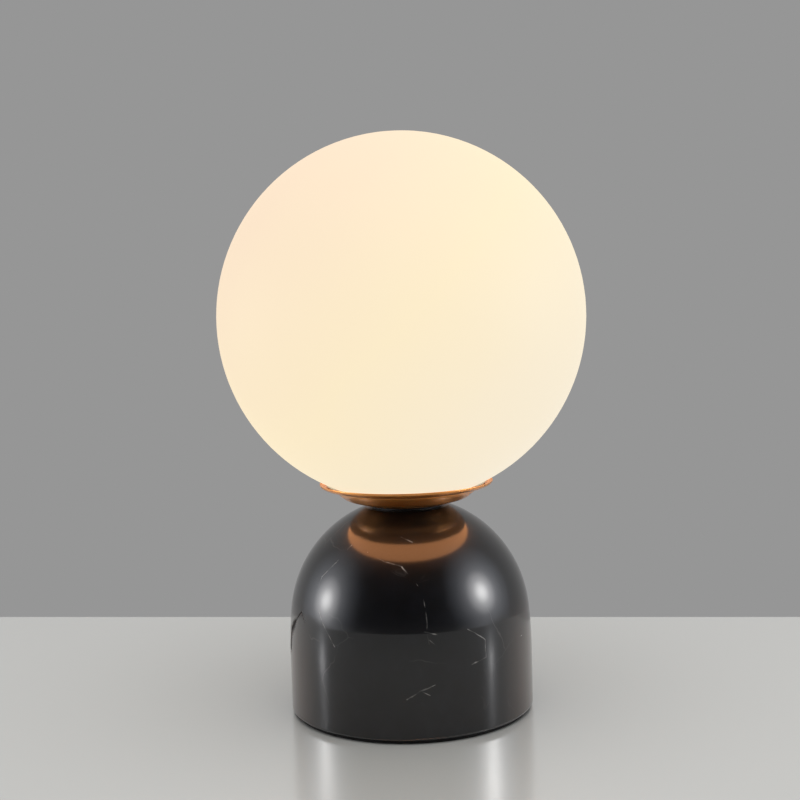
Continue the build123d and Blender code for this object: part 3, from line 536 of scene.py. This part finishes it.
# Silicone ring that the glass sits on.
gasket = {"outline": [(39.0, 123.05), (43.2, 124.05), (43.8, 125.2), (39.0, 123.5)], "round": 0.2}


def makeGasket():
    bm = bmesh.new()
    verts = drawOutline(bm, gasket["outline"], closed=True)
    roundCorners(bm, verts, gasket["round"], 4)
    spinRound(bm)
    return finishPiece(bm, "seatGasketRing", "lamp", "clear_silicone", "seat_gasket")


# Foam pad, its edge a little inside the stone's.
footPad = {"outline": [(0.0, 0.0), (64.5, 0.0), (64.5, 2.0), (0.0, 2.0)], "round": 0.35}


def makeFootPad():
    bm = bmesh.new()
    verts = drawOutline(bm, footPad["outline"])
    roundCorners(bm, verts[1:3], footPad["round"], 4)
    spinRound(bm)
    return finishPiece(bm, "footPadFoam", "lamp", "foam_pad", "base_pad")


# The bulb's screw cap: a drawn shell with a round thread rolled into it.
screwCap = {
    "top": 182.24, "threadTop": 178.9, "threadFoot": 165.4, "foot": 163.24, "crest": 12.85, "root": 12.05,
    "pitch": 3.62, "perPitch": 12, "footRadius": 11.0, "innerRadius": 9.0, "steps": 72,
}


def makeScrewCap():
    look = screwCap
    low, high, pitch, steps = look["threadFoot"], look["threadTop"], look["pitch"], look["steps"]
    middle = (look["crest"] + look["root"]) / 2
    half = (look["crest"] - look["root"]) / 2
    bm = bmesh.new()
    # One wave of the thread, repeated up the cap; each turn round lifts it by one pitch.
    turns = math.ceil((high - low) / pitch) + 1
    shares = [k / look["perPitch"] for k in range(look["perPitch"] * turns + 1)]
    drawOutline(bm, [(middle + half * math.cos(math.tau * share), low - pitch * (1 - share)) for share in shares])
    bmesh.ops.spin(bm, geom=bm.verts[:] + bm.edges[:], cent=(0.0, 0.0, 0.0), axis=(0.0, 0.0, 1.0),
                   dvec=(0.0, 0.0, pitch * mm / steps), angle=math.tau, steps=steps)
    bmesh.ops.remove_doubles(bm, verts=bm.verts[:], dist=0.02 * mm)
    for height, up in ((low, -1.0), (high, 1.0)):
        bmesh.ops.bisect_plane(bm, geom=bm.verts[:] + bm.edges[:] + bm.faces[:], plane_co=(0.0, 0.0, height * mm),
                               plane_no=(0.0, 0.0, up), clear_outer=True)
    # Both ends lap the thread by a hair.
    ends = bmesh.new()
    drawOutline(ends, [(middle - 0.1, low + 0.15), (middle + 0.15, low - 0.2),
                       (look["footRadius"], look["foot"]), (look["innerRadius"], look["foot"])])
    drawOutline(ends, [(middle - 0.1, high - 0.15), (look["crest"], high + 0.3),
                       (look["crest"], look["top"]), (look["root"], look["top"])])
    spinRound(ends, steps)
    addShape(bm, ends)
    return finishPiece(bm, "bulbCapThreaded", "bulb", "nickel_brass", "bulb_screw_cap", 60.0)


makeCup()
makeSaucer()
makeGasket()
makeFootPad()
makeScrewCap()
print("turned pieces made")


stageSet = {
    "farEdge": [(-0.3069, 0.2245), (0.2643, 0.1666)],  # the table's far edge, from the photograph's floor line
    "reach": 3.0,
    "floorColour": "#dbdbd7",
    "floorGloss": 0.6,
    "floorRoughness": 0.16,
    "wallColour": "#969696",
    "darkFront": "#141415",
    "frontToBack": (-0.55, 0.25),
    "fillLight": (0.55, 0.55, 0.56, 1.0),
}


def makeFloor():
    # A table top: a wide sheet, cut along its far edge.
    bm = bmesh.new()
    bmesh.ops.create_grid(bm, x_segments=2, y_segments=2, size=stageSet["reach"])
    a, b = [Vector((x, y, 0.0)) for x, y in stageSet["farEdge"]]
    across = (b - a).cross(Vector((0.0, 0.0, -1.0)))
    bmesh.ops.bisect_plane(bm, geom=bm.verts[:] + bm.edges[:] + bm.faces[:], plane_co=a, plane_no=across,
                           clear_outer=True)
    floor = meshObject(bm, "tableTop")
    # Lacquered top, pale grey: a dull ground under a soft mirror.
    material, tree = emptyMaterial("tableTopLacquer")
    dull = addNode(tree, "ShaderNodeBsdfDiffuse", {"Color": hexColour(stageSet["floorColour"])})
    gloss = addNode(tree, "ShaderNodeBsdfAnisotropic",
                    {"Color": hexColour("#ffffff"), "Roughness": stageSet["floorRoughness"]})
    both = addNode(tree, "ShaderNodeMixShader", {0: stageSet["floorGloss"], 1: dull.outputs[0], 2: gloss.outputs[0]})
    addNode(tree, "ShaderNodeOutputMaterial", {"Surface": both.outputs[0]})
    floor.data.materials.append(material)
    return floor


def makeWorld():
    # A grey backdrop for the eye and for the gloss behind the lamp; soft fill light; dark studio in front.
    world = bpy.data.worlds.new("studio")
    bpy.context.scene.world = world
    world.use_nodes = True
    tree = world.node_tree
    tree.nodes.clear()
    wall = hexColour(stageSet["wallColour"])
    ray = addNode(tree, "ShaderNodeLightPath").outputs
    direction = addNode(tree, "ShaderNodeTexCoord").outputs["Generated"]
    depth = addNode(tree, "ShaderNodeSeparateXYZ", {"Vector": direction}).outputs["Y"]
    behind = remap(tree, depth, *stageSet["frontToBack"], smooth=True)
    gloss = mixColours(tree, behind, hexColour(stageSet["darkFront"]), wall)
    fill = mixColours(tree, ray["Is Glossy Ray"], stageSet["fillLight"], gloss)
    seen = calc(tree, "MAXIMUM", ray["Is Camera Ray"], ray["Is Transmission Ray"])
    sky = addNode(tree, "ShaderNodeBackground", {"Color": mixColours(tree, seen, fill, wall), "Strength": 1.0})
    addNode(tree, "ShaderNodeOutputWorld", {"Surface": sky.outputs[0]})


lampSet = {
    "left": {"place": (-0.90, -0.05, 0.25), "radius": 0.72, "strength": 11.5},
    "right": {"place": (0.86, -0.20, 0.36), "radius": 0.72, "strength": 14.5},
    "above": {"place": (0.1, -0.3, 1.3), "size": 1.6, "power": 19.0},
    "leftTable": {"place": (-0.92, -0.05, 0.17), "radius": 0.17, "strength": 12.0},
    "rightTable": {"place": (0.88, -0.20, 0.17), "radius": 0.17, "strength": 12.0},
}


# How a soft box fades from its middle to its rim.
discFade = [(0.0, (1.0, 1.0, 1.0, 1.0)), (0.09, (0.80, 0.80, 0.80, 1.0)), (0.20, (0.36, 0.36, 0.37, 1.0)),
            (0.40, (0.085, 0.088, 0.096, 1.0)), (0.65, (0.030, 0.032, 0.036, 1.0)),
            (0.85, (0.012, 0.013, 0.015, 1.0)), (1.0, (0.0, 0.0, 0.0, 1.0))]


def aimAt(thing, place, target):
    thing.location = place
    thing.rotation_euler = (Vector(target) - Vector(place)).to_track_quat("-Z", "Y").to_euler()


def addSoftDisc(name, place, radius, strength, receivers, leastBounces=1):
    # A round soft box: hot in the middle, fading to nothing at its rim. Lenses don't see it. Each one
    # comes twice: in full for the lamp, and small for the table top, where it shows only as mirrored
    # once more in the stone. Light passes through both.
    bm = bmesh.new()
    bmesh.ops.create_circle(bm, cap_ends=True, radius=radius, segments=48)
    disc = meshObject(bm, name)
    aimAt(disc, place, (0.0, 0.0, 0.07))
    material, tree = emptyMaterial(name)
    here = addNode(tree, "ShaderNodeTexCoord").outputs["Object"]
    share = calc(tree, "DIVIDE", calcVector(tree, "LENGTH", here), radius)
    bounces = addNode(tree, "ShaderNodeLightPath").outputs["Ray Depth"]
    counted = calc(tree, "GREATER_THAN", bounces, leastBounces - 0.5)
    power = calc(tree, "MULTIPLY", counted, strength)
    glow = addNode(tree, "ShaderNodeEmission", {"Color": rampOf(tree, share, discFade), "Strength": power})
    clear = addNode(tree, "ShaderNodeBsdfTransparent")
    both = addNode(tree, "ShaderNodeAddShader", {0: glow.outputs[0], 1: clear.outputs[0]})
    addNode(tree, "ShaderNodeOutputMaterial", {"Surface": both.outputs[0]})
    disc.data.materials.append(material)
    disc.visible_camera = False
    disc.visible_shadow = False
    disc.visible_diffuse = False
    lit = bpy.data.collections.new(name + "Lit")
    for receiver in receivers:
        lit.objects.link(receiver)
    disc.light_linking.receiver_collection = lit


def addFill(name, place, size, power):
    # A broad light from above that gives no highlight of its own.
    light = bpy.data.lights.new(name, "AREA")
    light.shape = "DISK"
    light.size = size
    light.energy = power
    lamp = bpy.data.objects.new(name, light)
    bpy.context.scene.collection.objects.link(lamp)
    aimAt(lamp, place, (0.0, 0.0, 0.1))
    lamp.visible_glossy = False


lampPieces = [piece for piece in bpy.context.scene.objects if piece.type == "MESH"]
table = makeFloor()
makeWorld()
for side in ("left", "right"):
    addSoftDisc(side + "SoftBox", **lampSet[side], receivers=lampPieces)
    addSoftDisc(side + "TableBox", **lampSet[side + "Table"], receivers=[table], leastBounces=2)
addFill("fillAbove", **lampSet["above"])


cameraSet = {
    "place": (0.01171, -0.700, 0.22788),
    "pitch": 4.671,  # degrees down
    "yaw": -1.124,
    "roll": -1.740,
    "lens": 57.59,  # mm on a 36 mm sensor
}


def addCamera():
    pitch, yaw, roll = [math.radians(cameraSet[k]) for k in ("pitch", "yaw", "roll")]
    level = Vector((math.sin(yaw), math.cos(yaw), 0.0))
    sideways = Vector((math.cos(yaw), -math.sin(yaw), 0.0))
    upright = Vector((0.0, 0.0, 1.0))
    forward = math.cos(pitch) * level - math.sin(pitch) * upright
    lifted = math.sin(pitch) * level + math.cos(pitch) * upright
    right = math.cos(roll) * sideways + math.sin(roll) * lifted
    up = -math.sin(roll) * sideways + math.cos(roll) * lifted
    data = bpy.data.cameras.new("photoCamera")
    data.lens = cameraSet["lens"]
    data.sensor_width = 36.0
    camera = bpy.data.objects.new("photoCamera", data)
    bpy.context.scene.collection.objects.link(camera)
    turn = Matrix((right, up, -forward)).transposed().to_4x4()
    camera.matrix_world = Matrix.Translation(cameraSet["place"]) @ turn
    bpy.context.scene.camera = camera


addCamera()
bpy.context.scene.view_settings.view_transform = "Standard"
print("stage and camera set")
